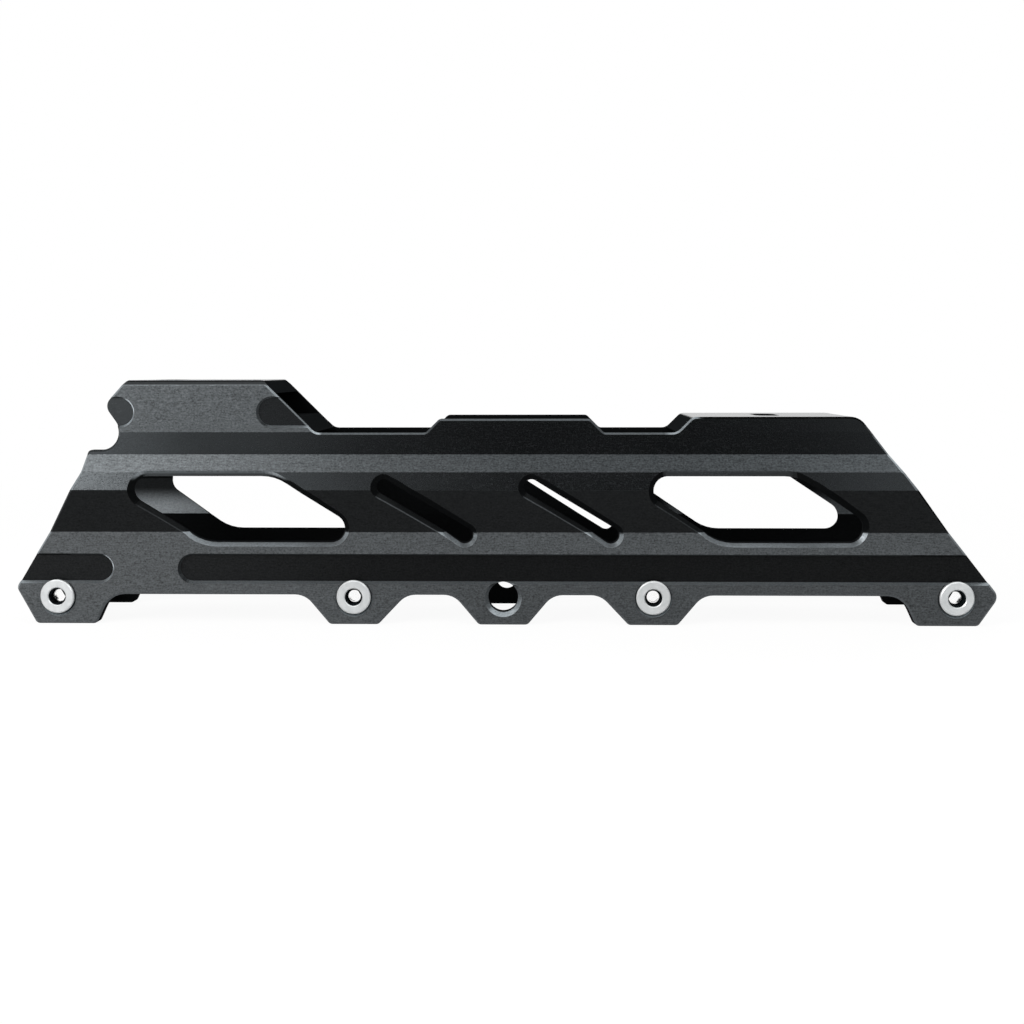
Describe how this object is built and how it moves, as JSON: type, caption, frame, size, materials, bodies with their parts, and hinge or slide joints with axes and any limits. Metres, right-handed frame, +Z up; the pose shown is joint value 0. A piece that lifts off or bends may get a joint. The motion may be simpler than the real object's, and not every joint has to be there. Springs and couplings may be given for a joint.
{
  "type": "inline skate frame",
  "caption": "Black anodised aluminium inline skate frame: a folded channel with bevelled windows, raised heel block, boot bolt slots and countersunk two-piece wheel axles.",
  "frame": {"origin": "centre of the spare middle axle hole, halfway between the walls", "axes": "+X to the toe along the frame, +Y to the left side along the axles, +Z up to the boot"},
  "size_m": [0.265, 0.04, 0.066],
  "materials": {
    "anodised_aluminium": "satin black anodised",
    "zinc_steel": "bright zinc plated"
  },
  "bodies": {
    "frame": {"frame_body": "anodised_aluminium"},
    "sleeve_front": {"axle_sleeve_front": "zinc_steel"},
    "bolt_front": {"axle_bolt_front": "zinc_steel"},
    "sleeve_second": {"axle_sleeve_second": "zinc_steel"},
    "bolt_second": {"axle_bolt_second": "zinc_steel"},
    "sleeve_third": {"axle_sleeve_third": "zinc_steel"},
    "bolt_third": {"axle_bolt_third": "zinc_steel"},
    "sleeve_rear": {"axle_sleeve_rear": "zinc_steel"},
    "bolt_rear": {"axle_bolt_rear": "zinc_steel"}
  },
  "joints": [
    {"name": "sleeve_front_slide", "type": "slide", "parent": "frame", "child": "sleeve_front", "axis": [0, -1, 0], "range_m": [0, 0.034]},
    {"name": "bolt_front_slide", "type": "slide", "parent": "frame", "child": "bolt_front", "axis": [0, 1, 0], "range_m": [0, 0.018]},
    {"name": "sleeve_second_slide", "type": "slide", "parent": "frame", "child": "sleeve_second", "axis": [0, -1, 0], "range_m": [0, 0.034]},
    {"name": "bolt_second_slide", "type": "slide", "parent": "frame", "child": "bolt_second", "axis": [0, 1, 0], "range_m": [0, 0.018]},
    {"name": "sleeve_third_slide", "type": "slide", "parent": "frame", "child": "sleeve_third", "axis": [0, -1, 0], "range_m": [0, 0.034]},
    {"name": "bolt_third_slide", "type": "slide", "parent": "frame", "child": "bolt_third", "axis": [0, 1, 0], "range_m": [0, 0.018]},
    {"name": "sleeve_rear_slide", "type": "slide", "parent": "frame", "child": "sleeve_rear", "axis": [0, -1, 0], "range_m": [0, 0.034]},
    {"name": "bolt_rear_slide", "type": "slide", "parent": "frame", "child": "bolt_rear", "axis": [0, 1, 0], "range_m": [0, 0.018]}
  ]
}
